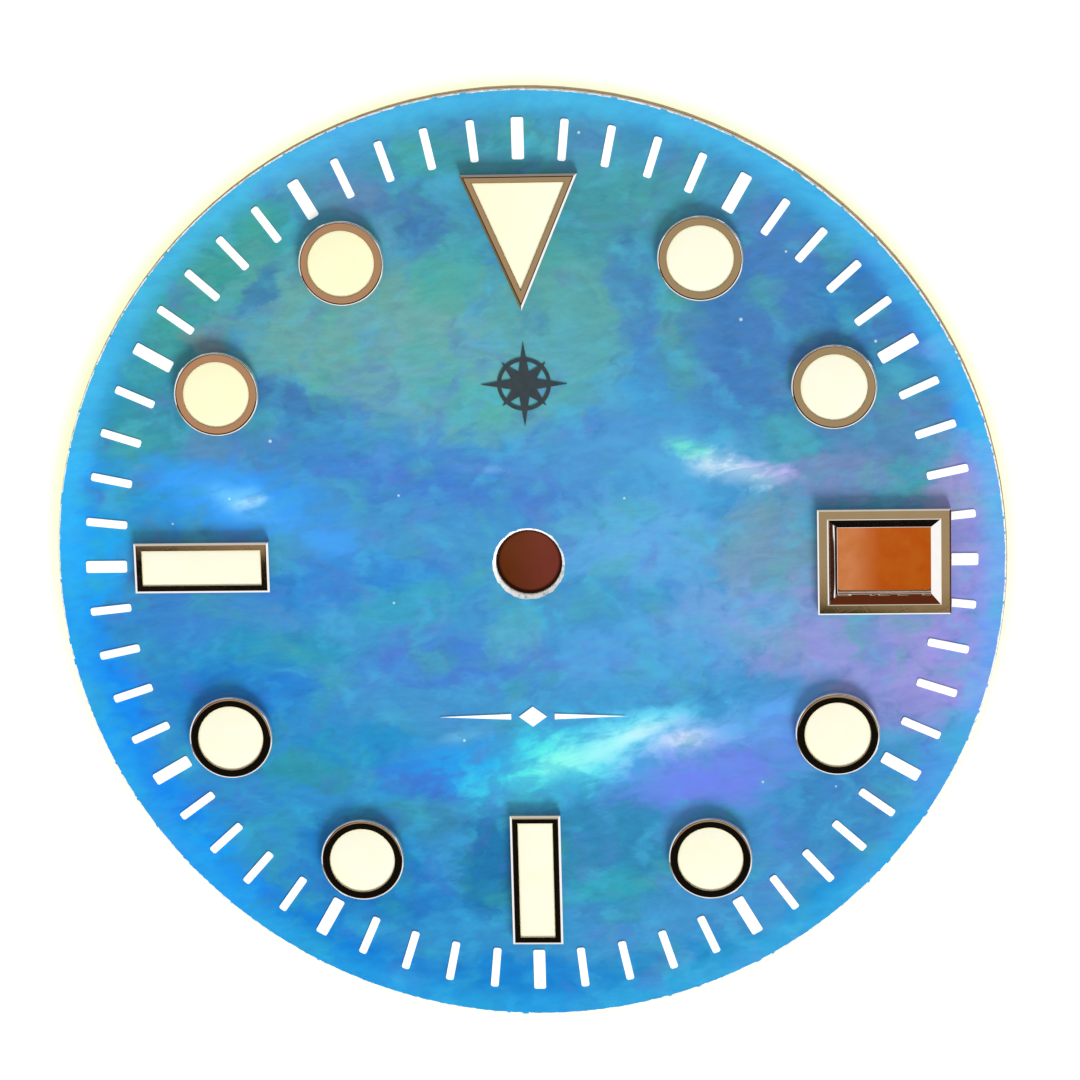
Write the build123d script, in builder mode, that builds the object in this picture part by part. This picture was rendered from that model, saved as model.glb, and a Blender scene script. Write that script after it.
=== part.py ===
from build123d import *
import os
from math import asin, cos, radians, sin, sqrt

# A watch dial with a mother-of-pearl face, applied hour markers and a date window.
# It lies face up: +Z points out of the face, +Y to 12 o'clock and +X to 3 o'clock.
# The origin is on the axis of the centre hole, at the underside of the brass plate.
# All lengths are in millimetres.

# Laminate: brass plate, adhesive film, pearl
dial_d = 28.5
plate_t = 0.40
film_t = 0.03
pearl_t = 0.22
pearl_setback = 0.03
plate_edge_break = 0.06
pearl_edge_break = 0.03

# Centre hole, drilled through the whole laminate
centre_hole_d = 2.0
pearl_hole_break = 0.07

# Minute track, printed in thick white ink
ink_t = 0.03
track_margin = 0.865
track_l = 1.24
hour_mark_w = 0.36
minute_mark_w = 0.24
hour_mark_corner_r = 0.06
minute_mark_corner_r = 0.07
ink_gap = 0.02

# Applied markers: polished cups filled with luminous paste
marker_gap = 0.275
marker_h = 0.35
cup_floor_t = 0.12
cup_edge_break = 0.07
round_d = 2.56
round_rim_w = 0.29
bar_l = 4.07
bar_w = 1.53
bar_rim_w = 0.235
triangle_w = 3.47
triangle_h = 4.05
triangle_rim_w = 0.245

# Luminous fillings
lume_gap = 0.005
lume_recess = 0.035
lume_crown = 0.03
lume_edge_r = 0.03

# Pins under the applied pieces, riveted behind the plate
pin_d = 0.40
pin_clearance = 0.02
rivet_d = 0.64
rivet_h = 0.12
rivet_recess = 0.02
bar_pin_inset = 0.75
triangle_base_pin_inset = 0.80
triangle_apex_pin_inset = 1.55

# Date frame and the cut-outs below it
window_l = 2.77
window_w = 2.02
frame_rim_w = 0.29
frame_bevel_w = 0.30
frame_bevel_h = 0.25
frame_edge_break = 0.05
frame_inner_break = 0.03
frame_into_track = 0.43
pearl_window_setback = 0.015
plate_window_setback = 0.07
cutout_corner_r = 0.20

# Dial feet
foot_d = 0.70
foot_l = 1.60
foot_inset = 1.35
foot_tip_break = 0.08
weld_pad_d = 1.10
weld_collar_h = 0.12
foot_recess_depth = 0.12
foot_recess_gap = 0.06

# Printed compass rose and divider, by their gaps to the triangle and to the bar at 6 o'clock
emblem_gap = 0.97
emblem_long_r = 1.28
emblem_short_r = 0.92
emblem_valley_r = 0.40
emblem_ring_r = 0.80
emblem_ring_w = 0.11
divider_gap = 2.73
lozenge_l = 0.84
lozenge_w = 0.62
needle_start = 0.66
needle_l = 2.16
needle_w = 0.17

# Counts and angles
hours = 12
minutes = 60
rose_points = 8
foot_angle = 41
crown_turn = 24

# Levels and radii that follow from these
dial_r = dial_d / 2
pearl_r = dial_r - pearl_setback
film_z = plate_t
pearl_z = film_z + film_t
face_z = pearl_z + pearl_t
rim_z = face_z + marker_h
pocket_z = face_z + cup_floor_t
lume_z = rim_z - lume_recess
track_outer_r = dial_r - track_margin
track_mid_r = track_outer_r - track_l / 2
marker_outer_r = track_outer_r - track_l - marker_gap
round_centre_r = marker_outer_r - round_d / 2
bar_centre_r = marker_outer_r - bar_l / 2
triangle_base_y = sqrt(marker_outer_r**2 - (triangle_w / 2) ** 2)
triangle_apex_y = triangle_base_y - triangle_h
emblem_y = triangle_apex_y - emblem_gap - emblem_long_r
divider_y = marker_outer_r - bar_l - divider_gap - lozenge_w / 2
frame_ring_w = frame_rim_w + frame_bevel_w
frame_l = window_l + 2 * frame_ring_w
frame_w = window_w + 2 * frame_ring_w
frame_x = track_outer_r - track_l + frame_into_track - frame_l / 2
pin_r = pin_d / 2
pin_hole_r = pin_r + pin_clearance
foot_r = foot_d / 2
foot_ring_r = dial_r - foot_inset
foot_recess_r = weld_pad_d / 2 + foot_recess_gap


def on_dial(radius, angle):
    """The place at this radius, with the angle in degrees from +X towards +Y."""
    return radius * cos(radians(angle)), radius * sin(radians(angle))


def hour_angle(hour):
    """The angle of an hour's ray, in degrees from +X towards +Y."""
    return 90 - hour * 360 / hours


def standing_plane(place):
    """A plane through the dial's normal at this place, with X across and Y up."""
    return Plane(origin=(*place, 0), x_dir=(1, 0, 0), z_dir=(0, -1, 0))


# Where the pins stand, for the applied pieces and for the holes below them.
# The quarter hours have other pieces than the round markers.
round_hours = [hour for hour in range(hours) if hour % 3]
round_places = {hour: on_dial(round_centre_r, hour_angle(hour)) for hour in round_hours}
bar_pin_radii = (bar_centre_r - bar_l / 2 + bar_pin_inset, marker_outer_r - bar_pin_inset)
bar_pins = {hour: [on_dial(r, hour_angle(hour)) for r in bar_pin_radii] for hour in (6, 9)}
triangle_pins = [
    (0, triangle_base_y - triangle_base_pin_inset),
    (0, triangle_apex_y + triangle_apex_pin_inset),
]
frame_pin_reach = (frame_l - frame_ring_w) / 2
frame_pins = [(frame_x - frame_pin_reach, 0), (frame_x + frame_pin_reach, 0)]
all_pins = [*round_places.values(), *bar_pins[6], *bar_pins[9], *triangle_pins, *frame_pins]

# Two pairs of feet, one for each place of the crown
foot_angles = [foot_angle, foot_angle + crown_turn, foot_angle + 180, foot_angle + crown_turn + 180]
foot_places = [on_dial(foot_ring_r, angle) for angle in foot_angles]

os.makedirs("parts", exist_ok=True)


def layer_outline(outer_r, window_setback):
    """One layer of the laminate: a disc with its centre hole, date cut-out and pin holes."""
    Circle(outer_r)
    Circle(centre_hole_d / 2, mode=Mode.SUBTRACT)
    with Locations((frame_x, 0)):
        RectangleRounded(
            window_l + 2 * window_setback,
            window_w + 2 * window_setback,
            cutout_corner_r,
            mode=Mode.SUBTRACT,
        )
    with Locations(*all_pins):
        Circle(pin_hole_r, mode=Mode.SUBTRACT)


# Brass plate: blanked disc with countersunk pin holes and foot recesses behind
with BuildPart() as base_plate:
    with BuildSketch():
        layer_outline(dial_r, plate_window_setback)
    extrude(amount=plate_t)
    with BuildSketch():
        with Locations(*foot_places):
            Circle(foot_recess_r)
    extrude(amount=foot_recess_depth, mode=Mode.SUBTRACT)
    with Locations(*[(x, y, 0) for x, y in all_pins]):
        Cone(
            rivet_d / 2 + pin_clearance,
            pin_hole_r,
            rivet_h,
            align=(Align.CENTER, Align.CENTER, Align.MIN),
            mode=Mode.SUBTRACT,
        )
    rim_edges = base_plate.edges().filter_by(GeomType.CIRCLE).group_by(SortBy.RADIUS)[-1]
    chamfer(rim_edges.sort_by(Axis.Z)[0], plate_edge_break)
base_plate.part.label = "base_plate"
export_step(base_plate.part, "parts/base_plate.step")

# Adhesive film between the brass and the pearl
with BuildPart() as bonding_film:
    with BuildSketch(Plane.XY.offset(film_z)):
        layer_outline(pearl_r, plate_window_setback)
    extrude(amount=film_t)
bonding_film.part.label = "bonding_film"
export_step(bonding_film.part, "parts/bonding_film.step")

# Mother-of-pearl: its outer edge and the centre hole are broken at the face
with BuildPart() as pearl_disc:
    with BuildSketch(Plane.XY.offset(pearl_z)):
        layer_outline(pearl_r, pearl_window_setback)
    extrude(amount=pearl_t)
    face_circles = pearl_disc.edges().filter_by(GeomType.CIRCLE).group_by(Axis.Z)[-1]
    chamfer(face_circles.group_by(SortBy.RADIUS)[-1], pearl_edge_break)
    face_circles = pearl_disc.edges().filter_by(GeomType.CIRCLE).group_by(Axis.Z)[-1]
    chamfer(face_circles.group_by(SortBy.RADIUS)[-2], pearl_hole_break)
pearl_disc.part.label = "pearl_disc"
export_step(pearl_disc.part, "parts/pearl_disc.step")


def mark_outlines(start_angles, width, corner_r):
    """Bars of the minute track, cut short where the date frame stands over them."""
    for start_angle in start_angles:
        with PolarLocations(track_mid_r, hours, start_angle=start_angle):
            RectangleRounded(track_l, width, corner_r)
    with Locations((frame_x, 0)):
        Rectangle(frame_l + 2 * ink_gap, frame_w + 2 * ink_gap, mode=Mode.SUBTRACT)


# Minute track: twelve wide bars and forty-eight narrow ones
with BuildPart() as hour_marks:
    with BuildSketch(Plane.XY.offset(face_z)):
        mark_outlines([0], hour_mark_w, hour_mark_corner_r)
    extrude(amount=ink_t)
hour_marks.part.label = "hour_marks"
export_step(hour_marks.part, "parts/hour_marks.step")

between_hours = [step * 360 / minutes for step in range(1, minutes // hours)]
with BuildPart() as minute_marks:
    with BuildSketch(Plane.XY.offset(face_z)):
        mark_outlines(between_hours, minute_mark_w, minute_mark_corner_r)
    extrude(amount=ink_t)
minute_marks.part.label = "minute_marks"
export_step(minute_marks.part, "parts/minute_marks.step")


def riveted_pins(places):
    """Pins from an applied piece's underside down to their riveted heads behind the plate."""
    with Locations(*[(x, y, rivet_recess) for x, y in places]):
        Cylinder(pin_r, face_z - rivet_recess, align=(Align.CENTER, Align.CENTER, Align.MIN))
        Cone(
            rivet_d / 2 - rivet_recess,
            pin_r,
            rivet_h - rivet_recess,
            align=(Align.CENTER, Align.CENTER, Align.MIN),
        )


# Round markers: turned cups, each with one pin, and their crowned fillings
round_r = round_d / 2
pocket_r = round_r - round_rim_w
lume_r = pocket_r - lume_gap
crown_ball_r = (lume_r**2 + lume_crown**2) / (2 * lume_crown)
half_crown_angle = asin(lume_r / crown_ball_r) / 2
mid_crown = (
    crown_ball_r * sin(half_crown_angle),
    lume_z + lume_crown - crown_ball_r * (1 - cos(half_crown_angle)),
)
for hour, place in round_places.items():
    with BuildPart() as round_cup:
        with BuildSketch(standing_plane(place)):
            with BuildLine():
                Polyline(
                    (0, face_z),
                    (round_r, face_z),
                    (round_r, rim_z - cup_edge_break),
                    (round_r - cup_edge_break, rim_z),
                    (pocket_r, rim_z),
                    (pocket_r, pocket_z),
                    (0, pocket_z),
                    close=True,
                )
            make_face()
        revolve(axis=Axis((*place, 0), (0, 0, 1)))
        riveted_pins([place])
    round_cup.part.label = f"marker_{hour:02d}_frame"
    export_step(round_cup.part, f"parts/marker_{hour:02d}_frame.step")

    with BuildPart() as round_lume:
        with BuildSketch(standing_plane(place)):
            with BuildLine():
                Polyline((0, lume_z + lume_crown), (0, pocket_z), (lume_r, pocket_z), (lume_r, lume_z))
                ThreePointArc((lume_r, lume_z), mid_crown, (0, lume_z + lume_crown))
            make_face()
        revolve(axis=Axis((*place, 0), (0, 0, 1)))
    round_lume.part.label = f"marker_{hour:02d}_lume"
    export_step(round_lume.part, f"parts/marker_{hour:02d}_lume.step")

# Bar markers at 6 and 9 o'clock: milled cups on two pins
for hour, places in bar_pins.items():
    centre = on_dial(bar_centre_r, hour_angle(hour))
    outward = (*centre, 0)
    with BuildPart() as bar_cup:
        with BuildSketch(Plane(origin=(*centre, face_z), x_dir=outward)):
            Rectangle(bar_l, bar_w)
        extrude(amount=marker_h)
        chamfer(bar_cup.faces().sort_by(Axis.Z)[-1].outer_wire().edges(), cup_edge_break)
        with BuildSketch(Plane(origin=(*centre, rim_z), x_dir=outward)):
            Rectangle(bar_l - 2 * bar_rim_w, bar_w - 2 * bar_rim_w)
        extrude(amount=pocket_z - rim_z, mode=Mode.SUBTRACT)
        riveted_pins(places)
    bar_cup.part.label = f"marker_{hour:02d}_frame"
    export_step(bar_cup.part, f"parts/marker_{hour:02d}_frame.step")

    with BuildPart() as bar_lume:
        with BuildSketch(Plane(origin=(*centre, pocket_z), x_dir=outward)):
            Rectangle(bar_l - 2 * (bar_rim_w + lume_gap), bar_w - 2 * (bar_rim_w + lume_gap))
        extrude(amount=lume_z - pocket_z)
        fillet(bar_lume.faces().sort_by(Axis.Z)[-1].edges(), lume_edge_r)
    bar_lume.part.label = f"marker_{hour:02d}_lume"
    export_step(bar_lume.part, f"parts/marker_{hour:02d}_lume.step")

# Triangle marker at 12 o'clock, its apex towards the centre
triangle_corners = [
    (-triangle_w / 2, triangle_base_y),
    (0, triangle_apex_y),
    (triangle_w / 2, triangle_base_y),
]
with BuildPart() as triangle_cup:
    with BuildSketch(Plane.XY.offset(face_z)):
        Polygon(*triangle_corners, align=None)
    extrude(amount=marker_h)
    chamfer(triangle_cup.faces().sort_by(Axis.Z)[-1].outer_wire().edges(), cup_edge_break)
    with BuildSketch(Plane.XY.offset(rim_z)):
        Polygon(*triangle_corners, align=None)
        offset(amount=-triangle_rim_w, kind=Kind.INTERSECTION, mode=Mode.REPLACE)
    extrude(amount=pocket_z - rim_z, mode=Mode.SUBTRACT)
    riveted_pins(triangle_pins)
triangle_cup.part.label = "marker_12_frame"
export_step(triangle_cup.part, "parts/marker_12_frame.step")

with BuildPart() as triangle_lume:
    with BuildSketch(Plane.XY.offset(pocket_z)):
        Polygon(*triangle_corners, align=None)
        offset(amount=-triangle_rim_w - lume_gap, kind=Kind.INTERSECTION, mode=Mode.REPLACE)
    extrude(amount=lume_z - pocket_z)
    fillet(triangle_lume.faces().sort_by(Axis.Z)[-1].edges(), lume_edge_r)
triangle_lume.part.label = "marker_12_lume"
export_step(triangle_lume.part, "parts/marker_12_lume.step")

# Date frame: a flat polished rim, a narrow break and a steep bevel down to the window
bevel_foot_z = rim_z - frame_bevel_h
with BuildPart() as date_frame:
    with BuildSketch(Plane((frame_x, 0, face_z))):
        Rectangle(frame_l, frame_w)
    extrude(amount=marker_h)
    chamfer(date_frame.faces().sort_by(Axis.Z)[-1].edges(), frame_edge_break)
    with BuildSketch(Plane((frame_x, 0, face_z))):
        Rectangle(window_l, window_w)
    extrude(amount=marker_h, mode=Mode.SUBTRACT)
    with BuildSketch(Plane((frame_x, 0, bevel_foot_z))):
        Rectangle(window_l, window_w)
    with BuildSketch(Plane((frame_x, 0, rim_z))):
        Rectangle(window_l + 2 * frame_bevel_w, window_w + 2 * frame_bevel_w)
    loft(ruled=True, mode=Mode.SUBTRACT)
    chamfer(date_frame.faces().sort_by(Axis.Z)[-1].inner_wires()[0].edges(), frame_inner_break)
    riveted_pins(frame_pins)
date_frame.part.label = "date_frame"
export_step(date_frame.part, "parts/date_frame.step")

# Dial feet: copper wire pegs, welded in shallow recesses behind the plate
for number, place in enumerate(foot_places, start=1):
    with BuildPart() as dial_foot:
        with BuildSketch(standing_plane(place)):
            with BuildLine():
                Polyline(
                    (0, foot_recess_depth),
                    (weld_pad_d / 2, foot_recess_depth),
                    (weld_pad_d / 2, 0),
                    (foot_r, -weld_collar_h),
                    (foot_r, foot_tip_break - foot_l),
                    (foot_r - foot_tip_break, -foot_l),
                    (0, -foot_l),
                    close=True,
                )
            make_face()
        revolve(axis=Axis((*place, 0), (0, 0, 1)))
    dial_foot.part.label = f"dial_foot_{number}"
    export_step(dial_foot.part, f"parts/dial_foot_{number}.step")

# Printed compass rose below 12 o'clock: a star over a thin ring
point_radii = (emblem_long_r, emblem_valley_r, emblem_short_r, emblem_valley_r)
rose_corners = [
    on_dial(point_radii[step % len(point_radii)], 90 + step * 180 / rose_points)
    for step in range(2 * rose_points)
]
with BuildPart() as emblem_print:
    with BuildSketch(Plane((0, emblem_y, face_z))):
        Circle(emblem_ring_r)
        Circle(emblem_ring_r - emblem_ring_w, mode=Mode.SUBTRACT)
        Polygon(*rose_corners, align=None)
    extrude(amount=ink_t)
emblem_print.part.label = "emblem_print"
export_step(emblem_print.part, "parts/emblem_print.step")

# Printed divider above 6 o'clock: a lozenge between two needles
with BuildPart() as divider_print:
    with BuildSketch(Plane((0, -divider_y, face_z))):
        Polygon(
            (lozenge_l / 2, 0),
            (0, lozenge_w / 2),
            (-lozenge_l / 2, 0),
            (0, -lozenge_w / 2),
            align=None,
        )
        for side in (-1, 1):
            Polygon(
                (side * needle_start, needle_w / 2),
                (side * (needle_start + needle_l), 0),
                (side * needle_start, -needle_w / 2),
                align=None,
            )
    extrude(amount=ink_t)
divider_print.part.label = "divider_print"
export_step(divider_print.part, "parts/divider_print.step")
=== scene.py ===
import bmesh
import bpy
from math import cos, hypot, radians, sin, sqrt
from mathutils import Matrix, Vector


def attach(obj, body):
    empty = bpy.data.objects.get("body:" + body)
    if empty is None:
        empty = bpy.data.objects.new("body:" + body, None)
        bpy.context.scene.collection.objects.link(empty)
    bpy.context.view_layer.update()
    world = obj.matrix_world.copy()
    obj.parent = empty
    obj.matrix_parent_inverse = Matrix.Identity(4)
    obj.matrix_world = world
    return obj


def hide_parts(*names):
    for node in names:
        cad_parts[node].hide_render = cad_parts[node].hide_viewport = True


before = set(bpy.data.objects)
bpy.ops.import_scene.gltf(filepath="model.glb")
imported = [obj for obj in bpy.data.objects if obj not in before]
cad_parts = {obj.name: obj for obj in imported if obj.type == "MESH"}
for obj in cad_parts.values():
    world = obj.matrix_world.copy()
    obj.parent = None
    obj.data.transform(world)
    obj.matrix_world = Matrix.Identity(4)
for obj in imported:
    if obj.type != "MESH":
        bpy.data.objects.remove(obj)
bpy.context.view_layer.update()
bpy.ops.object.select_all(action="DESELECT")

# Camera. It looks down on the dial from above 12 o'clock, so the walls that face 12 o'clock show
# and higher pieces sit lower in the picture. The places in this file are in millimetres, and each
# finished piece is brought down to metres when it is settled.
mm = 0.001
face_level = 0.65
eye = Vector((9.69, 28.68, 122.70 + face_level)) * mm
camera_right = Vector((0.997215, -0.025552, -0.070067))
camera_up = Vector((0.009308, 0.974774, -0.223000))
camera_back = Vector((0.073997, 0.221726, 0.972297))
bpy.ops.object.camera_add()
camera = bpy.context.object
camera.name = "camera"
turn = Matrix((camera_right, camera_up, camera_back)).transposed().to_4x4()
camera.matrix_world = Matrix.Translation(eye) @ turn
camera.data.sensor_width = 36.0
camera.data.lens = 140.76
camera.data.clip_start = 0.004
camera.data.clip_end = 10.0
bpy.context.scene.camera = camera
bpy.context.scene.view_settings.view_transform = "Standard"

# Room. The light that falls on the dial is plain and white. What polished metal mirrors has the
# places of the room: overhead the tan of the ceiling beside the dark of the camera and its stand,
# round that a dark band, then pale walls, and low down a white bench in front and to the left.
room = bpy.data.worlds.new("room")
room.use_nodes = True
bpy.context.scene.world = room
tree = room.node_tree
tree.nodes.clear()


def set_inputs(tree, node, inputs):
    """Sets inputs of a shader node. Each is a value or another node's output."""
    for name, value in inputs.items():
        if isinstance(value, bpy.types.NodeSocket):
            tree.links.new(value, node.inputs[name])
        else:
            node.inputs[name].default_value = value


def add_node(tree, kind, settings=None, inputs=None):
    """A shader node with its settings and inputs."""
    made = tree.nodes.new(kind)
    for name, value in (settings or {}).items():
        setattr(made, name, value)
    set_inputs(tree, made, inputs or {})
    return made


def linear(red, green, blue):
    """A colour as it looks on a screen, 0 to 255, as the linear colour that a shader takes."""
    shares = [part / 255 for part in (red, green, blue)]
    return (*[s / 12.92 if s <= 0.04045 else ((s + 0.055) / 1.055) ** 2.4 for s in shares], 1.0)


def blend_colours(tree, factor, below, above, mode="MIX"):
    """The colour above laid over the one below, by the factor."""
    settings = {"data_type": "RGBA", "blend_type": mode}
    return add_node(tree, "ShaderNodeMix", settings, {0: factor, 6: below, 7: above}).outputs[2]


def mix_shaders(tree, factor, first, second):
    """The first shader where the factor is 0, and the second where it is 1."""
    inputs = {0: factor, 1: first.outputs[0], 2: second.outputs[0]}
    return add_node(tree, "ShaderNodeMixShader", inputs=inputs)


def figure(tree, operation, *values):
    """One sum on numbers."""
    inputs = dict(enumerate(values))
    return add_node(tree, "ShaderNodeMath", {"operation": operation}, inputs).outputs[0]


def times(tree, first, second):
    """The product of two numbers. Of two masks, it is where both are."""
    return figure(tree, "MULTIPLY", first, second)


def ramp_between(tree, value, low, high, at_low=0.0, at_high=1.0):
    """A soft step: at_low up to the value low, at_high from the value high on."""
    return add_node(
        tree,
        "ShaderNodeMapRange",
        {"interpolation_type": "SMOOTHSTEP"},
        {0: value, 1: low, 2: high, 3: at_low, 4: at_high},
    ).outputs[0]


def split(tree, place):
    """The three parts of a place."""
    return add_node(tree, "ShaderNodeSeparateXYZ", inputs={0: place}).outputs


def from_axis(tree, place):
    """How far a place is from the upright axis."""
    x, y, _ = split(tree, place)
    return figure(tree, "SQRT", figure(tree, "MULTIPLY_ADD", x, x, times(tree, y, y)))


way = add_node(tree, "ShaderNodeTexCoord").outputs["Generated"]
way_x, way_y, way_z = split(tree, way)
height = figure(tree, "MAXIMUM", way_z, 0.03)
slope_x = figure(tree, "DIVIDE", way_x, height)
slope_y = figure(tree, "DIVIDE", way_y, height)
off_centre = figure(tree, "DIVIDE", from_axis(tree, way), height)
towards_back = ramp_between(tree, way_y, 0.30, 0.50)

# Overhead: the ceiling, and the dark stand, which leaves a dim seam beside it
to_right = ramp_between(tree, slope_x, -0.15, -0.06)
ceiling = blend_colours(tree, to_right, linear(194, 146, 110), linear(172, 148, 111))
stand_edge = figure(tree, "MULTIPLY_ADD", slope_x, 0.10, slope_y)
beside_stand = ramp_between(tree, stand_edge, -0.2365, -0.2445)
ceiling = blend_colours(tree, beside_stand, ceiling, linear(152, 128, 88))
on_stand = ramp_between(tree, stand_edge, -0.2449, -0.2469)
overhead = blend_colours(tree, on_stand, ceiling, linear(20, 17, 12))

# The walls reach in further on the left and in front
left = figure(tree, "MINIMUM", way_x, 0.0)
front = figure(tree, "MINIMUM", way_y, 0.0)
reach_out = figure(tree, "MULTIPLY_ADD", figure(tree, "ADD", left, front), 0.6, off_centre)
walls = blend_colours(tree, towards_back, (1.10, 1.10, 1.08, 1.0), linear(214, 210, 200))

# Low down: the bench, dark shelves at its right end, a dull back with a red corner, and an olive
# corner in front on the left
stripes = add_node(
    tree,
    "ShaderNodeTexWave",
    {"wave_type": "BANDS", "bands_direction": "Z"},
    {"Vector": way, "Scale": 7.0, "Distortion": 1.0},
)
on_board = ramp_between(tree, stripes.outputs["Fac"], 0.6, 0.8)
shelves = blend_colours(tree, on_board, linear(48, 27, 19), linear(94, 56, 38))
far_right = ramp_between(tree, way_x, 0.895, 0.925)
bench = blend_colours(tree, far_right, (1.14, 1.14, 1.14, 1.0), shelves)
bench = blend_colours(tree, towards_back, bench, linear(150, 145, 136))
red_corner = times(tree, towards_back, ramp_between(tree, way_x, -0.05, -0.02))
bench = blend_colours(tree, red_corner, bench, linear(98, 46, 24))
far_left = ramp_between(tree, way_x, -0.72, -0.78)
front_left = times(tree, far_left, ramp_between(tree, way_y, -0.34, -0.38))
bench = blend_colours(tree, front_left, bench, linear(126, 112, 80))
white = (1.0, 1.0, 1.0, 1.0)
rightwards = ramp_between(tree, way_x, -0.06, -0.04)
dead_ahead = times(tree, rightwards, ramp_between(tree, way_y, -0.96, -0.98))
horizon = blend_colours(tree, dead_ahead, white, linear(26, 18, 14))

# From overhead down to the horizon: where each place starts, and its look
places = [
    (ramp_between(tree, off_centre, 0.42, 0.48), linear(52, 30, 20)),
    (ramp_between(tree, reach_out, 0.86, 0.92), walls),
    (ramp_between(tree, off_centre, 1.66, 1.74), bench),
    (ramp_between(tree, way_z, 0.09, 0.06), horizon),
]
mirrored = overhead
for start, look in places:
    mirrored = blend_colours(tree, start, mirrored, look)
rays = add_node(tree, "ShaderNodeLightPath").outputs
soft_light = add_node(tree, "ShaderNodeBackground", inputs={0: white, 1: 0.56})
in_mirrors = add_node(tree, "ShaderNodeBackground", inputs={0: mirrored, 1: 1.0})
behind = add_node(tree, "ShaderNodeBackground", inputs={0: white, 1: 1.0})
lit = mix_shaders(tree, rays["Is Glossy Ray"], soft_light, in_mirrors)
seen = mix_shaders(tree, rays["Is Camera Ray"], lit, behind)
add_node(tree, "ShaderNodeOutputWorld", inputs={0: seen.outputs[0]})

# Key light. A wide soft lamp low behind 6 o'clock, a little to the right: the markers throw short
# shadows towards 12 o'clock.
key_from = Vector((0.18, -0.55, 0.37)).normalized()
bpy.ops.object.light_add(type="SUN", location=key_from)
key = bpy.context.object
key.name = "key_light"
key.rotation_euler = key_from.to_track_quat("Z", "Y").to_euler()
key.data.energy = 2.95
key.data.angle = radians(27)
key.visible_glossy = False

# Floor. Plain and pale, at the tips of the feet, with a painted pale yellow shadow round the dial.
# It is seen from above only, and soft light passes it, so that the back of the dial shows in views
# from below.
floor_level = -1.60
floor_size = 2400
bpy.ops.mesh.primitive_plane_add(size=floor_size * mm, location=(0, 0, floor_level * mm))
floor = bpy.context.object
floor.name = floor.data.name = "floor"


def in_millimetres(tree):
    """The place on the piece, in millimetres."""
    inputs = {0: add_node(tree, "ShaderNodeTexCoord").outputs["Object"], "Scale": 1 / mm}
    return add_node(tree, "ShaderNodeVectorMath", {"operation": "SCALE"}, inputs).outputs[0]


def new_finish(name):
    """A new material, with its node tree and the place on the piece."""
    finish = bpy.data.materials.new(name)
    finish.use_nodes = True
    return finish, finish.node_tree, in_millimetres(finish.node_tree)


def vector_figure(tree, operation, first, second, output="Vector"):
    """One sum on places."""
    settings = {"operation": operation}
    return add_node(tree, "ShaderNodeVectorMath", settings, {0: first, 1: second}).outputs[output]


def lay_on_stage(thing, paint, glow, matt, matt_in_mirrors):
    """Paints a flat thing of the stage: for the camera it glows, and for other light it is matt."""
    tree = paint.node_tree
    to_camera = add_node(tree, "ShaderNodeLightPath").outputs["Is Camera Ray"]
    bounce = blend_colours(tree, to_camera, matt_in_mirrors, matt)
    dull = add_node(tree, "ShaderNodeBsdfDiffuse", inputs={0: bounce})
    shine = add_node(tree, "ShaderNodeEmission", inputs={0: glow, 1: to_camera})
    whole = add_node(tree, "ShaderNodeAddShader", inputs={0: dull.outputs[0], 1: shine.outputs[0]})
    from_below = add_node(tree, "ShaderNodeNewGeometry").outputs["Backfacing"]
    clear = add_node(tree, "ShaderNodeBsdfTransparent")
    one_sided = mix_shaders(tree, from_below, whole, clear)
    tree.nodes.remove(tree.nodes["Principled BSDF"])
    set_inputs(tree, tree.nodes["Material Output"], {0: one_sided.outputs[0]})
    thing.data.materials.append(paint)
    thing.visible_diffuse = False
    thing.visible_shadow = False


floor_paint, tree, place = new_finish("floor_paint")
# The yellow ring round the dial is a painted shadow, stronger towards the back.
painted_shadow_middle = (-0.18, -0.53, 0)
out = vector_figure(tree, "DISTANCE", place, painted_shadow_middle, "Value")
in_painted_shadow = times(tree, ramp_between(tree, out, 15.05, 14.45), ramp_between(tree, out, 13.0, 13.7))
painted_shadow_to_back = ramp_between(tree, split(tree, place)[1], -10.0, 6.0, 0.35, 1.0)
pale, yellow = (0.965, 0.965, 0.96, 1.0), (0.92, 0.94, 0.56, 1.0)
glow = blend_colours(tree, times(tree, in_painted_shadow, painted_shadow_to_back), pale, yellow)
lay_on_stage(floor, floor_paint, glow, (0.11, 0.12, 0.15, 1.0), (0.86, 0.85, 0.83, 1.0))

# Brown card. The photograph shows brown through the centre hole and the date window, so a scrap of
# brown card lies close below each. They are part of the stage, and only these openings show them.
# For the camera the cards glow with their brown: painted light, since they lie in the shade under
# the dial.
card_level = -0.04
card_matt = (0.03, 0.01, 0.005, 1.0)
hole_card_r = 1.35
hole_card_at = Vector((-0.03, -0.09, card_level)) * mm
bpy.ops.mesh.primitive_circle_add(
    vertices=48, radius=hole_card_r * mm, fill_type="NGON", location=hole_card_at
)
hole_card = bpy.context.object
hole_card.name = hole_card.data.name = "hole_card"


def noise(tree, place, scale, detail, roughness=0.5, distortion=0.0):
    """A soft random pattern over a place."""
    inputs = {"Vector": place, "Scale": scale, "Detail": detail}
    inputs |= {"Roughness": roughness, "Distortion": distortion}
    return add_node(tree, "ShaderNodeTexNoise", inputs=inputs).outputs


hole_paint, tree, place = new_finish("hole_card_paint")
grain = times(tree, noise(tree, place, 1.6, 3.0)[0], 0.4)
hole_brown = blend_colours(tree, grain, linear(88, 40, 8), linear(108, 52, 36))
rightwards = ramp_between(tree, split(tree, place)[0], -0.8, 0.9)
hole_brown = blend_colours(tree, rightwards, hole_brown, linear(112, 50, 40))
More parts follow.
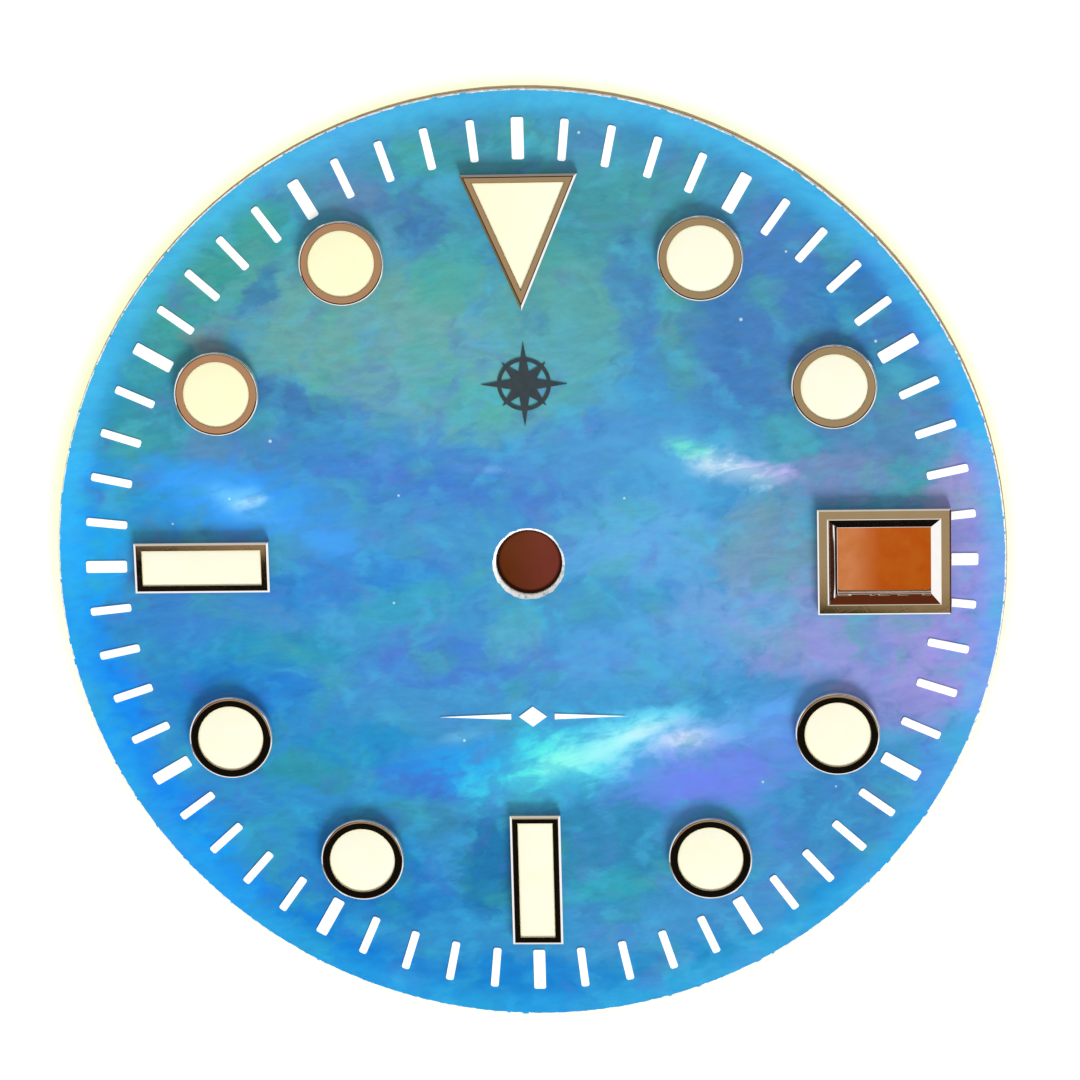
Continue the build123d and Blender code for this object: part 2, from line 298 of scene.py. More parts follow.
# Painted shade: the card turns near black just inside the hole's edge, under its wall.
painted_shade_at_hole_edge = ramp_between(tree, from_axis(tree, place), 0.85, 0.95)
hole_brown = blend_colours(tree, painted_shade_at_hole_edge, hole_brown, linear(34, 16, 8))
lay_on_stage(hole_card, hole_paint, hole_brown, card_matt, card_matt)

window_card_at = Vector((10.60, -0.10, card_level)) * mm
window_card_l, window_card_w = 3.3, 2.6
bpy.ops.mesh.primitive_plane_add(size=mm, location=window_card_at)
window_card = bpy.context.object
window_card.name = window_card.data.name = "window_card"
window_card.scale = (window_card_l, window_card_w, 1)
bpy.ops.object.transform_apply(location=False, rotation=False, scale=True)
window_paint, tree, place = new_finish("window_card_paint")
in_window = ramp_between(tree, split(tree, place)[0], -1.15, 0.05)
window_brown = blend_colours(tree, in_window, linear(204, 128, 80), linear(178, 78, 12))
mottled = ramp_between(tree, noise(tree, place, 1.6, 3.0)[0], 0.35, 0.65, 0.0, 0.45)
window_brown = blend_colours(tree, mottled, window_brown, linear(186, 100, 26))
lay_on_stage(window_card, window_paint, window_brown, card_matt, linear(170, 90, 40))

# Base plate. Stamped brass, 0.4 mm thick, turned and left bare behind, with countersunk holes for
# the riveted pins. Its wall shows as a thin brown line under the pearl, and the hole is tarnished.
hole_r = 1.0
brass, tree, place = new_finish("turned_brass")


def finish_surface(tree, inputs, relief=None, strength=0.3, depth=0.01):
    """Sets a finish's shader. The relief is a pattern, raised by up to this depth."""
    if relief is not None:
        raised = {"Height": relief, "Strength": strength, "Distance": depth * mm}
        bump = add_node(tree, "ShaderNodeBump", inputs=raised)
        inputs = inputs | {"Normal": bump.outputs[0]}
    set_inputs(tree, tree.nodes["Principled BSDF"], inputs)


def coat(finish, *names):
    """Gives solids their finish."""
    for name in names:
        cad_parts[name].material_slots[0].material = finish


rings = add_node(
    tree,
    "ShaderNodeTexWave",
    {"wave_type": "RINGS", "rings_direction": "Z", "wave_profile": "SIN"},
    {"Vector": place, "Scale": 3.2, "Distortion": 0.5, "Detail": 3.0, "Detail Scale": 2.0},
).outputs["Fac"]
tarnish = noise(tree, place, 0.55, 5.0)[0]
colour = blend_colours(tree, tarnish, linear(216, 186, 130), linear(236, 210, 160))
colour = blend_colours(tree, times(tree, rings, 0.25), colour, linear(150, 104, 48))
in_hole = ramp_between(tree, from_axis(tree, place), hole_r + 0.04, hole_r + 0.01)
colour = blend_colours(tree, in_hole, colour, linear(112, 58, 26))
roughness = ramp_between(tree, tarnish, 0.3, 0.7, 0.30, 0.46)
finish_surface(
    tree, {"Base Color": colour, "Metallic": 0.7, "Roughness": roughness}, rings, strength=0.35
)
coat(brass, "base_plate")

# Bonding film. A sheet of amber adhesive, 0.03 mm thick, laid between the brass and the pearl. Only
# its edge shows, at the rim and in the walls of the openings.
adhesive, tree, place = new_finish("amber_adhesive")
bubbles = noise(tree, place, 6.0, 3.0)[0]
colour = blend_colours(tree, bubbles, linear(70, 42, 22), linear(120, 80, 44))
finish_surface(tree, {"Base Color": colour, "Roughness": 0.55})
coat(adhesive, "bonding_film")

# Pearl disc. Mother-of-pearl 0.22 mm thick, dyed blue, ground flat and lacquered. It is cut a hair
# smaller than the plate, and its rim and its hole are chipped to bare white nacre at the edge.
pearl_r = 14.22
pearl_low = 0.43
pearl_t = face_level - pearl_low
bpy.ops.mesh.primitive_cylinder_add(
    vertices=960, radius=pearl_r, depth=pearl_t, location=(0, 0, pearl_low + pearl_t / 2)
)
pearl = bpy.context.object
pearl.name = pearl.data.name = "pearl_face"


def select_only(*pieces):
    """Selects these pieces and nothing else. The last is the active one."""
    bpy.ops.object.select_all(action="DESELECT")
    for piece in pieces:
        piece.select_set(True)
    bpy.context.view_layer.objects.active = pieces[-1]


def edit(piece):
    """Opens one piece in edit mode with nothing of it selected."""
    select_only(piece)
    bpy.ops.object.mode_set(mode="EDIT")
    bpy.ops.mesh.select_all(action="DESELECT")


def done():
    """Leaves edit mode."""
    bpy.ops.object.mode_set(mode="OBJECT")


def pick(piece, kind, wanted):
    """Selects the points, edges or faces that answer the test. Places are the piece's own."""
    bpy.ops.mesh.select_mode(type=kind)
    bpy.ops.mesh.select_all(action="DESELECT")
    mesh = bmesh.from_edit_mesh(piece.data)
    mesh.normal_update()
    for part in {"VERT": mesh.verts, "EDGE": mesh.edges, "FACE": mesh.faces}[kind]:
        part.select_set(bool(wanted(part)))
    bmesh.update_edit_mesh(piece.data)


def pick_top(piece):
    """Selects the faces that look straight up."""
    pick(piece, "FACE", lambda face: face.normal.z > 0.9)


def pick_edges(piece, wanted):
    """Selects the edges whose two ends both answer the test."""
    pick(piece, "EDGE", lambda edge: all(wanted(end.co) for end in edge.verts))


def break_edges(width, segments):
    """Rounds off the selected edges."""
    bpy.ops.mesh.bevel(
        offset=width, offset_type="OFFSET", segments=segments, profile=0.5, affect="EDGES"
    )


def extrude(rise):
    """Extrudes the selected faces straight up, or down."""
    bpy.ops.mesh.extrude_region_move(TRANSFORM_OT_translate={"value": (0, 0, rise)})


def step_in(steps):
    """Insets the selected faces again and again, each time by a width and a rise."""
    for width, rise in steps:
        bpy.ops.mesh.inset(thickness=width, depth=rise)


def place_mesh(piece):
    """Applies the piece's place, turn and scale to its mesh."""
    select_only(piece)
    bpy.ops.object.transform_apply(location=True, rotation=True, scale=True)


def settle(piece, slot_name, *nodes, angle=32):
    """Smooths a finished piece but keeps its flats flat, brings it down to metres, and lets it ride
    on the dial in place of its CAD nodes."""
    place_mesh(piece)
    bpy.ops.object.shade_smooth_by_angle(angle=radians(angle))
    flats = piece.modifiers.new("flats", "WEIGHTED_NORMAL")
    flats.weight = 100
    flats.keep_sharp = True
    bpy.ops.object.modifier_apply(modifier="flats")
    piece.scale = (mm, mm, mm)
    place_mesh(piece)
    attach(piece, "root")
    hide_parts(*nodes)
    bpy.ops.object.select_all(action="DESELECT")


def combine(piece, tool, operation):
    """Cuts the tool from the piece, or makes it one with the piece, and takes the tool away."""
    boolean = piece.modifiers.new("boolean", "BOOLEAN")
    boolean.operation = operation
    boolean.solver = "EXACT"
    boolean.object = tool
    select_only(piece)
    bpy.ops.object.modifier_apply(modifier="boolean")
    bpy.data.objects.remove(tool, do_unlink=True)


# The rim: a narrow broken edge, then random chips along it
rim_break, rim_chip = 0.045, 0.016
top = pearl_t / 2
edit(pearl)
pick_top(pearl)
step_in([(0.20, 0.0)])
pick_edges(pearl, lambda end: end.z > top - 0.001 and hypot(end.x, end.y) > pearl_r - 0.01)
break_edges(rim_break, 2)
pick(
    pearl,
    "VERT",
    lambda point: point.co.z > top - 0.04 and hypot(point.co.x, point.co.y) > pearl_r - 0.06,
)
bpy.ops.transform.vertex_random(offset=rim_chip, uniform=0.0, normal=0.0, seed=4)
done()
place_mesh(pearl)

# The cutter for the centre hole, flared and ragged at the face; then the window and the pins' holes
hole_chip = 0.032
shank_l, flare_l = 0.4, 0.06
shank_middle = 0.39
bpy.ops.mesh.primitive_cylinder_add(
    vertices=72, radius=hole_r, depth=shank_l, location=(0, 0, shank_middle)
)
cutter = bpy.context.object
edit(cutter)
pick_top(cutter)
extrude(flare_l)
bpy.ops.transform.resize(value=(1.085, 1.09, 1.0))
bpy.ops.transform.translate(value=(-0.008, -0.030, 0))
bpy.ops.transform.vertex_random(offset=hole_chip, uniform=0.0, normal=0.0, seed=9)
bpy.ops.transform.resize(value=(1.0, 1.0, 0.0))
extrude(0.1)
done()
place_mesh(cutter)

window_x = 10.60
window_l, window_w = 2.80, 2.05
window_corner_r = 0.07
bpy.ops.mesh.primitive_cube_add(
    size=1, location=(window_x, 0, face_level), scale=(window_l, window_w, 1)
)
window_cutter = bpy.context.object
place_mesh(window_cutter)
edit(window_cutter)
pick(window_cutter, "EDGE", lambda edge: abs(edge.verts[0].co.z - edge.verts[1].co.z) > 0.5)
break_edges(window_corner_r, 4)
done()


def on_ray(radius, hour):
    """The place at this radius on the ray of an hour."""
    angle = radians(90 - hour * 30)
    return radius * cos(angle), radius * sin(angle)


marker_end_r = 11.87
round_r = 1.28
round_centre_r = marker_end_r - round_r
round_hours = (1, 2, 4, 5, 7, 8, 10, 11)
bar_l = 4.07
bar_hours = (6, 9)
bar_pin_inset = 0.75
bar_pin_rs = (marker_end_r - bar_l + bar_pin_inset, marker_end_r - bar_pin_inset)
triangle_w, triangle_h = 3.47, 4.05
triangle_base_y = sqrt(marker_end_r**2 - (triangle_w / 2) ** 2)
triangle_apex_y = triangle_base_y - triangle_h
pin_below_base, pin_above_apex = 0.80, 1.55
triangle_pins = [(0, triangle_base_y - pin_below_base), (0, triangle_apex_y + pin_above_apex)]
frame_pin_reach = 1.68
frame_pins = [(window_x - frame_pin_reach, 0), (window_x + frame_pin_reach, 0)]
pin_places = [on_ray(round_centre_r, hour) for hour in round_hours]
pin_places += [on_ray(radius, hour) for radius in bar_pin_rs for hour in bar_hours]
pin_hole_r, pin_hole_l = 0.22, 0.6
pin_hole_middle = 0.55
pin_cutters = []
for x, y in pin_places + triangle_pins + frame_pins:
    bpy.ops.mesh.primitive_cylinder_add(
        vertices=24, radius=pin_hole_r, depth=pin_hole_l, location=(x, y, pin_hole_middle)
    )
    pin_cutters.append(bpy.context.object)
    place_mesh(bpy.context.object)
select_only(window_cutter, *pin_cutters, cutter)
bpy.ops.object.join()
combine(pearl, cutter, "DIFFERENCE")

# The dyed and lacquered face. Its growth layers drift from lower left to upper right: patches of
# dye first, each a soft ragged cloud, then the layers' edges, fine streaks, painted highlights
# and dust.
dyed_nacre, tree, place = new_finish("dyed_nacre")


def stretched(tree, place, turned, scale, centre=(0.0, 0.0, 0.0)):
    """The place as it is taken by a pattern that is turned, in degrees, and drawn out."""
    inputs = {"Vector": place, "Location": centre, "Rotation": (0, 0, radians(turned))}
    inputs["Scale"] = scale
    return add_node(tree, "ShaderNodeMapping", {"vector_type": "TEXTURE"}, inputs).outputs[0]


def drifted(source, drift, reach):
    """The place moved about by a noise, up to this reach in millimetres."""
    centred = vector_figure(tree, "SUBTRACT", drift["Color"], (0.5, 0.5, 0.5))
    return vector_figure(tree, "ADD", source, vector_figure(tree, "MULTIPLY", centred, reach))


along = stretched(tree, place, 9, (2.0, 1.0, 1.0))
soft_place = drifted(place, noise(tree, along, 0.42, 3.0), (1.8, 1.3, 0.0))
cloud_place = drifted(soft_place, noise(tree, along, 1.5, 5.0, 0.62), (1.6, 1.0, 0.0))
ragged_edge = ramp_between(tree, noise(tree, cloud_place, 1.1, 4.0, 0.6)[0], 0.3, 0.7, 0.02, 0.40)
wisps = noise(tree, stretched(tree, place, 15, (1.7, 0.7, 1.0)), 1.2, 4.0, 0.58, 0.35)
wisp = ramp_between(tree, wisps[0], 0.38, 0.60, 0.30, 1.0)


def patch(below, colour, centre, reach, turned, strength, as_painted_highlight=False):
    """One patch of dye, or a wispy painted highlight: an oval cloud with a long and a short reach,
    its long axis turned.
    """
    source = soft_place if as_painted_highlight else cloud_place
    own = stretched(tree, source, turned, (1.5 * reach[0], 1.5 * reach[1], 90.0), (*centre, 0.0))
    ball = add_node(tree, "ShaderNodeTexGradient", {"gradient_type": "SPHERICAL"}, {0: own})
    full_from = 1.0 if as_painted_highlight else 0.66
    amount = ramp_between(tree, ball.outputs["Fac"], ragged_edge, full_from, 0.0, strength)
    if as_painted_highlight:
        amount = times(tree, amount, wisp)
    return blend_colours(tree, amount, below, linear(*colour))


patches = [
    # the rim, clockwise from 12 o'clock
    ((60, 148, 180), (0.0, 13.4), (4.2, 1.3), 0, 0.88),
    ((68, 170, 198), (1.4, 14.0), (0.9, 0.5), 0, 0.88),
    ((54, 142, 188), (5.4, 12.6), (2.6, 1.2), -20, 0.88),
    ((44, 144, 198), (9.2, 10.6), (2.8, 1.4), -48, 0.88),
    ((28, 134, 222), (12.2, 7.4), (3.0, 1.5), -62, 0.93),
    ((26, 140, 236), (13.6, 4.2), (2.4, 1.2), -78, 0.95),
    ((148, 146, 228), (13.7, 0.6), (3.4, 1.6), 90, 0.93),
    ((132, 140, 238), (13.6, -3.4), (2.6, 1.3), 76, 0.93),
    ((78, 134, 218), (12.6, -6.6), (2.2, 1.3), 62, 0.88),
    ((24, 144, 210), (9.8, -10.2), (4.2, 1.5), 42, 0.93),
    ((26, 142, 198), (4.6, -13.0), (3.6, 1.4), 16, 0.93),
    ((14, 134, 210), (-1.0, -13.7), (3.6, 1.4), 0, 0.93),
    ((0, 132, 216), (-6.6, -12.2), (3.8, 1.6), -28, 0.95),
    ((0, 142, 242), (-11.0, -8.6), (4.0, 1.8), -50, 0.95),
    ((0, 144, 244), (-13.4, -3.6), (4.0, 1.7), -76, 0.95),
    ((20, 168, 254), (-13.5, 1.6), (3.0, 1.5), 88, 0.95),
    ((26, 154, 208), (-12.9, 5.4), (2.6, 1.3), 68, 0.88),
    ((44, 154, 184), (-11.0, 9.2), (2.8, 1.4), 50, 0.88),
    ((78, 154, 196), (-6.6, 12.4), (2.4, 1.2), 28, 0.78),
    # upper left
    ((52, 156, 162), (-9.3, 8.8), (3.8, 2.0), 48, 0.95),
    ((46, 146, 178), (-11.4, 4.6), (1.9, 1.7), 60, 0.8),
    ((58, 150, 172), (-2.2, 12.2), (2.2, 0.9), 0, 0.8),
    ((96, 128, 188), (-4.9, 11.0), (1.5, 0.7), -12, 0.7),
    ((62, 118, 188), (-3.0, 10.2), (1.5, 0.9), -28, 0.85),
    ((104, 168, 178), (-4.2, 6.8), (5.4, 2.9), -16, 0.95),
    ((108, 168, 176), (-3.4, 7.2), (2.6, 1.5), -16, 0.8),
    ((96, 172, 172), (-0.8, 5.6), (2.6, 2.0), -10, 0.85),
    ((72, 172, 166), (-2.2, 8.8), (1.3, 1.1), 20, 0.6),
    ((78, 176, 166), (-1.9, 4.9), (1.8, 0.6), -16, 0.6),
    ((52, 120, 180), (-7.8, 8.4), (1.1, 0.5), 65, 0.85),
    ((54, 112, 190), (-6.4, 5.0), (2.1, 0.55), -14, 0.8),
    ((128, 132, 150), (-9.4, 6.9), (0.8, 0.5), 0, 0.6),
    ((56, 136, 206), (-5.4, 3.4), (4.6, 1.2), -14, 0.9),
    ((64, 126, 204), (-2.0, 2.6), (4.6, 1.1), -8, 0.9),
    ((92, 136, 200), (-9.4, 3.6), (1.4, 0.6), -20, 0.6),
    ((28, 150, 230), (-11.6, 2.2), (2.2, 1.2), 0, 0.88),
    # upper right
    ((90, 166, 176), (1.2, 7.2), (2.4, 3.0), 6, 0.92),
    ((66, 150, 170), (2.4, 10.6), (3.0, 1.6), 10, 0.85),
    ((66, 126, 200), (3.4, 8.0), (0.9, 2.4), 8, 0.7),
    ((82, 164, 166), (4.9, 6.9), (0.9, 2.2), 6, 0.85),
    ((64, 122, 202), (6.9, 6.4), (2.6, 2.8), -20, 0.88),
    ((66, 124, 206), (7.8, 9.0), (1.6, 2.0), 10, 0.85),
    ((46, 120, 198), (10.6, 7.6), (2.0, 2.6), 20, 0.88),
    ((118, 156, 228), (12.1, 6.2), (0.7, 0.5), 0, 0.6),
    ((76, 148, 208), (2.0, 3.4), (3.4, 1.4), 8, 0.8),
    ((84, 132, 198), (10.8, 3.8), (1.9, 1.1), 0, 0.78),
    # middle
    ((70, 132, 206), (-10.3, -1.4), (2.3, 1.4), 0, 0.78),
    ((44, 134, 210), (-5.6, -0.6), (3.6, 1.1), 6, 0.88),
    ((42, 150, 188), (-7.8, -2.7), (2.5, 0.75), 4, 0.93),
    ((54, 160, 196), (-3.8, -1.3), (2.3, 0.75), 8, 0.88),
    ((68, 126, 208), (-2.6, -3.0), (3.0, 0.9), 4, 0.88),
    ((86, 172, 200), (-0.5, -2.2), (1.4, 0.6), 10, 0.88),
    ((100, 174, 228), (3.6, 0.6), (3.2, 1.7), 0, 0.78),
    ((116, 154, 184), (7.5, 0.2), (1.9, 2.4), 0, 0.88),
    ((118, 136, 200), (9.2, 2.6), (2.2, 0.9), -10, 0.8),
    ((158, 148, 218), (12.9, 1.6), (1.3, 2.6), 0, 0.78),
    ((150, 150, 216), (9.6, -2.6), (3.8, 2.3), -8, 0.9),
    ((158, 146, 220), (12.2, -3.0), (1.8, 2.2), 0, 0.88),
    ((122, 166, 224), (6.0, -1.8), (2.6, 1.2), 6, 0.68),
    ((84, 162, 224), (3.2, -2.8), (3.2, 1.1), 8, 0.78),
    # lower left
    ((28, 126, 210), (-9.2, -4.2), (2.8, 1.6), 0, 0.78),
    ((30, 144, 200), (-5.3, -5.6), (2.2, 0.8), 0, 0.88),
    ((60, 152, 168), (-6.9, -6.5), (1.9, 0.6), -6, 0.88),
    ((66, 108, 204), (-3.4, -6.6), (1.9, 0.9), 0, 0.88),
    ((62, 140, 178), (-3.6, -7.9), (1.9, 0.8), 4, 0.88),
    ((12, 118, 194), (-5.0, -9.6), (2.6, 1.4), -20, 0.78),
    ((12, 170, 246), (-9.7, -9.0), (1.0, 0.4), -10, 0.68),
    ((20, 114, 166), (-1.4, -9.2), (1.2, 2.2), 0, 0.88),
    # lower right
    ((62, 146, 202), (6.6, -4.2), (2.4, 0.8), 8, 0.88),
    ((110, 132, 228), (5.6, -6.7), (2.6, 1.0), 6, 0.93),
    ((96, 144, 228), (8.0, -5.2), (1.6, 1.3), 0, 0.88),
    ((44, 136, 178), (2.4, -8.8), (2.3, 2.4), 0, 0.93),
    ((50, 166, 182), (2.1, -10.1), (1.3, 0.7), 0, 0.78),
    ((58, 134, 192), (9.2, -7.6), (2.6, 1.6), 20, 0.88),
    ((142, 142, 208), (11.3, -4.6), (1.3, 1.0), 0, 0.68),
]
colour = linear(66, 148, 204)
for row in patches:
    colour = patch(colour, *row)

# Between the patches the dye took unevenly: small soft clouds of green, of violet and of cyan. Each
# has its colour, its fineness, its place in the noise, and its start, its full level and strength.
clouds = [
    (linear(72, 172, 170), 0.75, (31.0, 4.0, 0.0), 0.47, 0.76, 0.50),
    (linear(96, 116, 208), 0.85, (3.0, 47.0, 0.0), 0.49, 0.78, 0.42),
    (linear(76, 184, 226), 1.15, (17.0, 23.0, 0.0), 0.48, 0.76, 0.40),
    (linear(36, 96, 160), 1.50, (57.0, 11.0, 0.0), 0.52, 0.78, 0.26),
]
for tint, fineness, aside, low, high, strength in clouds:
    cloud = noise(tree, vector_figure(tree, "ADD", cloud_place, aside), fineness, 2.0)
    amount = ramp_between(tree, cloud[0], low, high, 0.0, strength)
    colour = blend_colours(tree, amount, colour, tint)

# Towards the rim the face is greener in the upper half, and at the rim it turns paler, a painted
# highlight along the rounded edge. At the lower left it is deeper.
radial = from_axis(tree, place)
place_x, place_y, _ = split(tree, place)
upwards = ramp_between(tree, place_y, -3.0, 4.0)
band = times(tree, ramp_between(tree, radial, 6.0, 9.0), ramp_between(tree, radial, 13.6, 12.8))
upper_band = times(tree, band, upwards)
colour = blend_colours(tree, upper_band, colour, (1.0, 1.0, 0.82, 1.0), "MULTIPLY")
# Painted highlight: the rim is paler where its rounded edge catches the light.
rim_highlight_amount = ramp_between(tree, radial, 13.2, 14.0, 0.0, 0.36)
painted_rim_highlight = times(tree, rim_highlight_amount, figure(tree, "MULTIPLY_ADD", upwards, 0.7, 1.0))
colour = blend_colours(tree, painted_rim_highlight, colour, linear(66, 192, 246))
to_lower_left = times(tree, figure(tree, "ADD", place_x, place_y), -0.7)
deep = ramp_between(tree, to_lower_left, 5.0, 10.5, 0.0, 0.85)
colour = blend_colours(tree, deep, colour, (0.42, 0.91, 0.97, 1.0), "MULTIPLY")

# The layers' edges: where a growth layer runs out, it is pale on one side and deep on the other
layers = times(tree, noise(tree, cloud_place, 0.34, 2.5)[0], 13.0)
step_light = ramp_between(tree, figure(tree, "FRACT", layers), 0.0, 1.0, 0.0, 0.28)
colour = blend_colours(tree, step_light, colour, linear(140, 190, 215), "SOFT_LIGHT")

# Fine streaks of the nacre
streaks = noise(tree, stretched(tree, soft_place, 7, (2.6, 1.0, 1.0)), 3.2, 6.0, 0.7)
streak = ramp_between(tree, streaks[0], 0.25, 0.75, 0.32, 0.68)
colour = blend_colours(tree, 0.28, colour, streak, "OVERLAY")

# Painted highlights: the streaks where the nacre flashes with light, white cyan with a little pink
painted_highlights = [
    # above the bar at 9 o'clock: an azure glow round a small white core
    ((30, 146, 250), (-9.0, 2.1), (3.8, 1.7), -10, 1.0),
    ((64, 170, 252), (-8.8, 2.0), (2.6, 1.0), -20, 1.0),
    ((104, 198, 255), (-8.6, 2.0), (1.3, 0.5), -24, 1.0),
    ((176, 228, 255), (-8.3, 1.85), (0.5, 0.25), 8, 1.0),
    ((64, 160, 244), (-6.0, 0.8), (2.2, 0.7), -14, 0.95),
    ((112, 164, 230), (-1.3, 3.0), (1.0, 0.28), -12, 0.8),
    # below 2 o'clock: mint, then white, then pink towards the right
    ((80, 172, 224), (4.9, 3.0), (3.0, 1.2), -10, 0.95),
    ((110, 190, 234), (6.2, 2.9), (2.2, 0.7), -14, 0.95),
    ((112, 240, 208), (4.9, 3.3), (1.1, 0.34), -14, 1.0),
    ((232, 246, 254), (6.3, 2.8), (1.5, 0.5), -14, 1.0),
    ((206, 178, 244), (7.3, 2.75), (1.3, 0.42), -16, 1.0),
    # above 6 o'clock: a broad cyan band that rises to the right, mint to white to lavender
    ((110, 196, 238), (-2.2, -5.3), (1.2, 0.4), 10, 0.9),
    ((24, 156, 236), (-1.8, -6.3), (4.2, 1.1), 6, 1.0),
    ((52, 200, 246), (1.8, -5.9), (5.0, 1.6), 14, 1.0),
    ((108, 132, 240), (4.9, -6.6), (3.2, 1.3), 10, 1.0),
    ((76, 240, 232), (0.7, -6.2), (3.0, 1.2), 14, 1.0),
    ((110, 254, 234), (0.7, -6.2), (1.8, 0.7), 14, 0.9),
    ((124, 228, 250), (2.9, -5.5), (3.2, 1.0), 16, 1.0),
    ((158, 246, 248), (2.4, -5.7), (2.0, 0.5), 20, 1.0),
    ((196, 252, 250), (3.3, -5.45), (1.0, 0.3), 22, 1.0),
    ((150, 255, 236), (0.8, -6.2), (0.9, 0.35), 16, 1.0),
    ((170, 200, 252), (5.0, -5.5), (2.6, 0.8), 14, 1.0),
    ((236, 240, 255), (4.9, -5.6), (1.1, 0.34), 14, 1.0),
    ((90, 172, 244), (7.0, -4.8), (2.6, 0.9), 14, 1.0),
]
for row in painted_highlights:
    colour = patch(colour, *row, as_painted_highlight=True)

# Dust that lies in the lacquer, each a bright fleck: its place and its radius
flecks = [
    (-7.65, 3.8, 0.07), (-3.85, 2.1, 0.05), (-10.7, 1.3, 0.045), (6.45, 7.3, 0.07),
    (7.8, 9.3, 0.05), (10.4, 6.6, 0.06), (2.9, 1.95, 0.05), (1.8, 12.9, 0.06),
    (-4.1, -1.2, 0.05), (-2.1, -5.5, 0.06), (6.9, -6.85, 0.05), (9.1, -7.0, 0.04),
    (-8.95, 2.05, 0.05),
]
for x, y, r in flecks:
    away = vector_figure(tree, "DISTANCE", place, (x, y, face_level), "Value")
    fleck = ramp_between(tree, away, r, 0.3 * r, 0.0, 0.75)
    colour = blend_colours(tree, fleck, colour, linear(214, 244, 240))
look = {"Base Color": colour, "Roughness": 0.38, "Specular IOR Level": 0.15}
look |= {"Coat Weight": 0.55, "Coat Roughness": 0.16}
waves = noise(tree, soft_place, 0.9, 2.0)[0]
finish_surface(tree, look, waves, strength=0.25, depth=0.02)

# The bare edge: white nacre, chalky where it chipped
bare_nacre, tree, place = new_finish("bare_nacre")
chalk = noise(tree, place, 9.0, 4.0)[0]
whiter = ramp_between(tree, chalk, 0.30, 0.50)
colour = blend_colours(tree, whiter, linear(196, 206, 206), linear(255, 255, 253))
look = {"Base Color": colour, "Roughness": 0.45, "Coat Weight": 0.3}
finish_surface(tree, look, chalk, strength=0.6, depth=0.02)
pearl.data.materials.append(dyed_nacre)
pearl.data.materials.append(bare_nacre)
for face in pearl.data.polygons:
    face.material_index = 0 if face.normal.z > 0.98 else 1
settle(pearl, "lacquered_pearl", "pearl_disc")

# Minute track. Sixty bars of thick white ink, pad printed on the lacquer: one wide bar at each
# hour and four narrow ones between. The divider above 6 o'clock is of the same ink.
white_ink, tree, place = new_finish("white_ink")
mottle = noise(tree, place, 7.0, 3.0)[0]
colour = blend_colours(tree, mottle, linear(250, 254, 255), white)
# The ink glows a little: painted light that keeps it white where the markers' shade falls on it.
look = {"Base Color": colour, "Roughness": 0.42, "Emission Color": white, "Emission Strength": 0.16}
finish_surface(tree, look, mottle)
coat(white_ink, "hour_marks", "minute_marks", "divider_print")

# Compass rose. A plain ornament in dark grey ink, pad printed on the lacquer below the triangle, in
# one go with its ring and its rays.
dark_ink, tree, place = new_finish("dark_ink")
mottle = noise(tree, place, 5.0, 4.0)[0]
colour = blend_colours(tree, mottle, linear(42, 56, 62), linear(62, 76, 82))
finish_surface(tree, {"Base Color": colour, "Roughness": 0.40}, mottle)
coat(dark_ink, "emblem_print")

# Round markers. Turned nickel cups with a flat polished lip and a softly rounded outer edge. Each
# stands on one pin, which passes through the laminate and is riveted behind the plate.
polished, tree, place = new_finish("polished_nickel")
haze = noise(tree, place, 2.2, 4.0)[0]
colour = blend_colours(tree, haze, (0.80, 0.77, 0.74, 1.0), (0.88, 0.86, 0.84, 1.0))
scuffs = []
for turned in (22, -51):
    scuff = noise(tree, stretched(tree, place, turned, (9.0, 0.35, 1.0)), 7.0, 3.0)
    scuffs.append(ramp_between(tree, scuff[0], 0.60, 0.72))
roughness = ramp_between(tree, haze, 0.3, 0.7, 0.02, 0.035)
look = {"Base Color": colour, "Metallic": 1.0, "Roughness": roughness}
finish_surface(tree, look, figure(tree, "ADD", *scuffs), strength=0.008, depth=0.003)

rim_level = 1.00
pocket_level = 0.77
pocket_break = 0.012
round_lip_w = 0.29
round_edge_r = 0.10
pin_r = 0.20
pin_top = 0.72
rivet_r = 0.30
rivet_break = 0.02
rivet_low, rivet_high = 0.02, 0.12


def riveted_pin(x, y):
    """One pin. Its riveted head lies in the plate's countersink, its top inside the piece."""
    bpy.ops.mesh.primitive_cone_add(
        vertices=40,
        radius1=rivet_r,
        radius2=pin_r,
        depth=rivet_high - rivet_low,
        location=(x, y, (rivet_high + rivet_low) / 2),
    )
    pin = bpy.context.object
    place_mesh(pin)
    edit(pin)
    pick_top(pin)
    extrude(pin_top - rivet_high)
    pick_edges(pin, lambda end: end.z < rivet_low + 0.001)
    break_edges(rivet_break, 2)
    done()
    return pin


def finish_cup(cup, pins, nickel=polished):
    """Makes the pins one solid with the piece that they hold, and gives it its nickel."""
    for x, y in pins:
        combine(cup, riveted_pin(x, y), "UNION")
    cup.data.materials.clear()
    cup.data.materials.append(nickel)


def copy_at(piece, name, x, y):
    """A copy with its own mesh, moved to its place."""
    twin = piece.copy()
    twin.data = piece.data.copy()
    twin.name = twin.data.name = name
    bpy.context.collection.objects.link(twin)
    twin.location = (x, y, 0)
    place_mesh(twin)
    return twin


def sink_pocket(body, lip_w, inside):
    """Sinks the pocket into the top of a solid body and breaks its sharp inner edge."""
    step_in([(lip_w, 0.0)])
    extrude(pocket_level - rim_level)
    pick_edges(body, lambda end: end.z > rim_level - 0.001 and inside(end.x, end.y))
    break_edges(pocket_break, 2)


